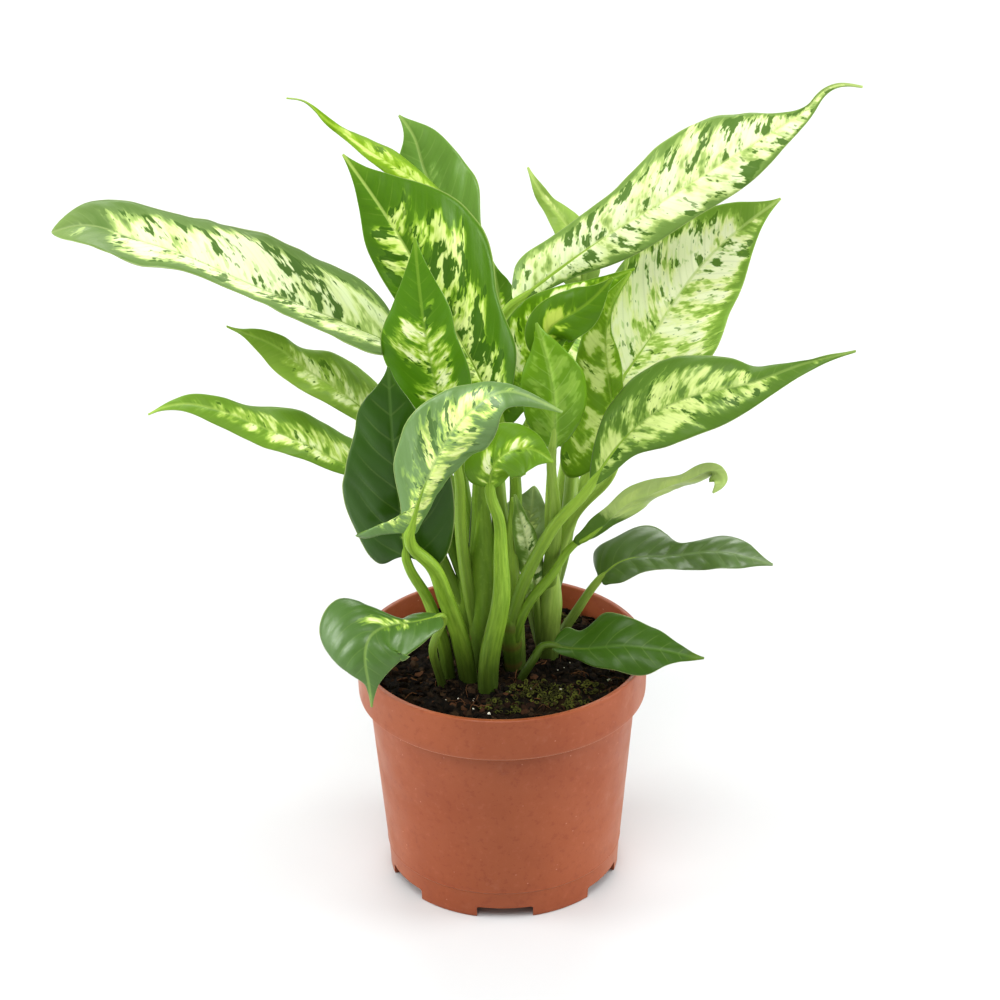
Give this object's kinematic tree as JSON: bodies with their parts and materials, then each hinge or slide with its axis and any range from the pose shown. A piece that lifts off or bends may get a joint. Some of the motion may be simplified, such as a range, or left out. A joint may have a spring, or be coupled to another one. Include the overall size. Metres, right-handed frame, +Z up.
{
  "type": "potted plant",
  "caption": "Potted dieffenbachia: pointed green leaves with cream blotches on light green stalks, standing in soil in a round tapered nursery pot on low feet.",
  "frame": {"origin": "on the surface that the feet stand on, under the middle of the whole outline; the pot's axis stands 14 mm towards +X and 12.8 mm towards -Y from it", "axes": "+Z up along the pot's axis, -Y towards the side the plant is seen from, +X to the right as seen from there"},
  "size_m": [0.3175, 0.1809, 0.3334],
  "materials": {
    "pot_plastic": "terracotta-coloured moulded nursery plastic, slightly mottled",
    "soil_peat": "dark moist peat with fine fibres and pale specks",
    "stem_green": "smooth light green petioles",
    "leaf_front_arching": "satin leaf, green margin, cream and lime blotches",
    "leaf_dark_left": "satin leaf, green margin, cream and lime blotches",
    "leaf_low_left": "satin leaf, green margin, cream and lime blotches",
    "leaf_centre_left": "satin leaf, green margin, cream and lime blotches",
    "leaf_small_upright": "satin leaf, green margin, cream and lime blotches",
    "leaf_long_left": "satin leaf, green margin, cream and lime blotches",
    "leaf_left_middle": "satin leaf, green margin, cream and lime blotches",
    "leaf_left_lower": "satin leaf, green margin, cream and lime blotches",
    "leaf_lime_back_left": "satin leaf, green margin, cream and lime blotches",
    "leaf_dark_back_left": "satin leaf, green margin, cream and lime blotches",
    "leaf_back_left": "satin leaf, green margin, cream and lime blotches",
    "leaf_back_low": "satin leaf, green margin, cream and lime blotches",
    "leaf_centre_small": "satin leaf, green margin, cream and lime blotches",
    "leaf_right_arching": "satin leaf, green margin, cream and lime blotches",
    "leaf_right_twisted": "satin leaf, green margin, cream and lime blotches",
    "leaf_low_right": "satin leaf, green margin, cream and lime blotches",
    "leaf_large_right": "satin leaf, green margin, cream and lime blotches",
    "leaf_behind_centre": "satin leaf, green margin, cream and lime blotches",
    "leaf_front_of_large": "satin leaf, green margin, cream and lime blotches",
    "leaf_upright_right": "satin leaf, green margin, cream and lime blotches",
    "leaf_turned_centre": "satin leaf, green margin, cream and lime blotches",
    "leaf_inner_centre": "satin leaf, green margin, cream and lime blotches",
    "leaf_back_right": "satin leaf, green margin, cream and lime blotches",
    "leaf_lime_back": "satin leaf, green margin, cream and lime blotches",
    "leaf_right_green": "satin leaf, green margin, cream and lime blotches",
    "leaf_back_centre": "satin leaf, green margin, cream and lime blotches",
    "leaf_young_front": "satin leaf, green margin, cream and lime blotches",
    "leaf_young_back": "satin leaf, green margin, cream and lime blotches"
  },
  "bodies": {
    "root": {"pot": "pot_plastic", "soil": "soil_peat", "stem_front_left": "stem_green", "stem_outer_left": "stem_green", "stem_low_left": "stem_green", "stem_main": "stem_green", "stem_centre": "stem_green", "stem_right": "stem_green", "stem_back_right": "stem_green", "leaf_front_arching": "leaf_front_arching", "leaf_dark_left": "leaf_dark_left", "leaf_low_left": "leaf_low_left", "leaf_centre_left": "leaf_centre_left", "leaf_small_upright": "leaf_small_upright", "leaf_long_left": "leaf_long_left", "leaf_left_middle": "leaf_left_middle", "leaf_left_lower": "leaf_left_lower", "leaf_lime_back_left": "leaf_lime_back_left", "leaf_dark_back_left": "leaf_dark_back_left", "leaf_back_left": "leaf_back_left", "leaf_back_low": "leaf_back_low", "leaf_centre_small": "leaf_centre_small", "leaf_right_arching": "leaf_right_arching", "leaf_right_twisted": "leaf_right_twisted", "leaf_low_right": "leaf_low_right", "leaf_large_right": "leaf_large_right", "leaf_behind_centre": "leaf_behind_centre", "leaf_front_of_large": "leaf_front_of_large", "leaf_upright_right": "leaf_upright_right", "leaf_turned_centre": "leaf_turned_centre", "leaf_inner_centre": "leaf_inner_centre", "leaf_back_right": "leaf_back_right", "leaf_lime_back": "leaf_lime_back", "leaf_right_green": "leaf_right_green", "leaf_back_centre": "leaf_back_centre", "leaf_young_front": "leaf_young_front", "leaf_young_back": "leaf_young_back"}
  },
  "joints": []
}
